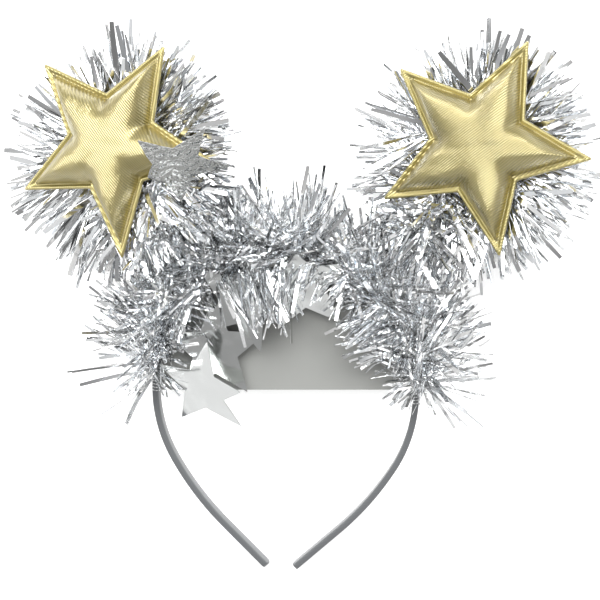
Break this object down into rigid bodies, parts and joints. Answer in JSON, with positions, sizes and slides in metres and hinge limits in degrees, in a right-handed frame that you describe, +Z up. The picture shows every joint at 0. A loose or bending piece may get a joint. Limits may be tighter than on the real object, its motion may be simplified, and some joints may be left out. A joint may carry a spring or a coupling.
{
  "type": "new year headband on a card",
  "caption": "Ribbon-covered headband with a silver tinsel garland over its crown, padded gold stars on tinsel-wrapped stems, loose foil stars and a plain card in the arch.",
  "frame": {"origin": "middle of the whole's box, on the surface that it lies on", "axes": "+X to the right seen from its front, +Y from the tips of the band towards the crown, +Z up out of its front"},
  "size_m": [0.2842, 0.2722, 0.0761],
  "materials": {
    "ribbon": "satin ribbon, silver grey, fine diagonal weave",
    "tinsel": "metallised film strips, mirror bright",
    "lame": "gold lame, finely ribbed, padded",
    "foil": "silver mirror film",
    "wire": "plain wire",
    "card": "matt grey"
  },
  "bodies": {
    "root": {"headband": "ribbon", "card": "card", "tinsel_garland": "tinsel", "left_stem": "wire", "left_star_tinsel": "tinsel", "left_star": "lame", "right_stem": "wire", "right_star_tinsel": "tinsel", "right_star": "lame", "foil_star_lower_left": "foil", "foil_star_on_card": "foil", "foil_star_centre": "foil", "foil_star_centre_right": "foil", "foil_star_upper_left": "foil"}
  },
  "joints": []
}
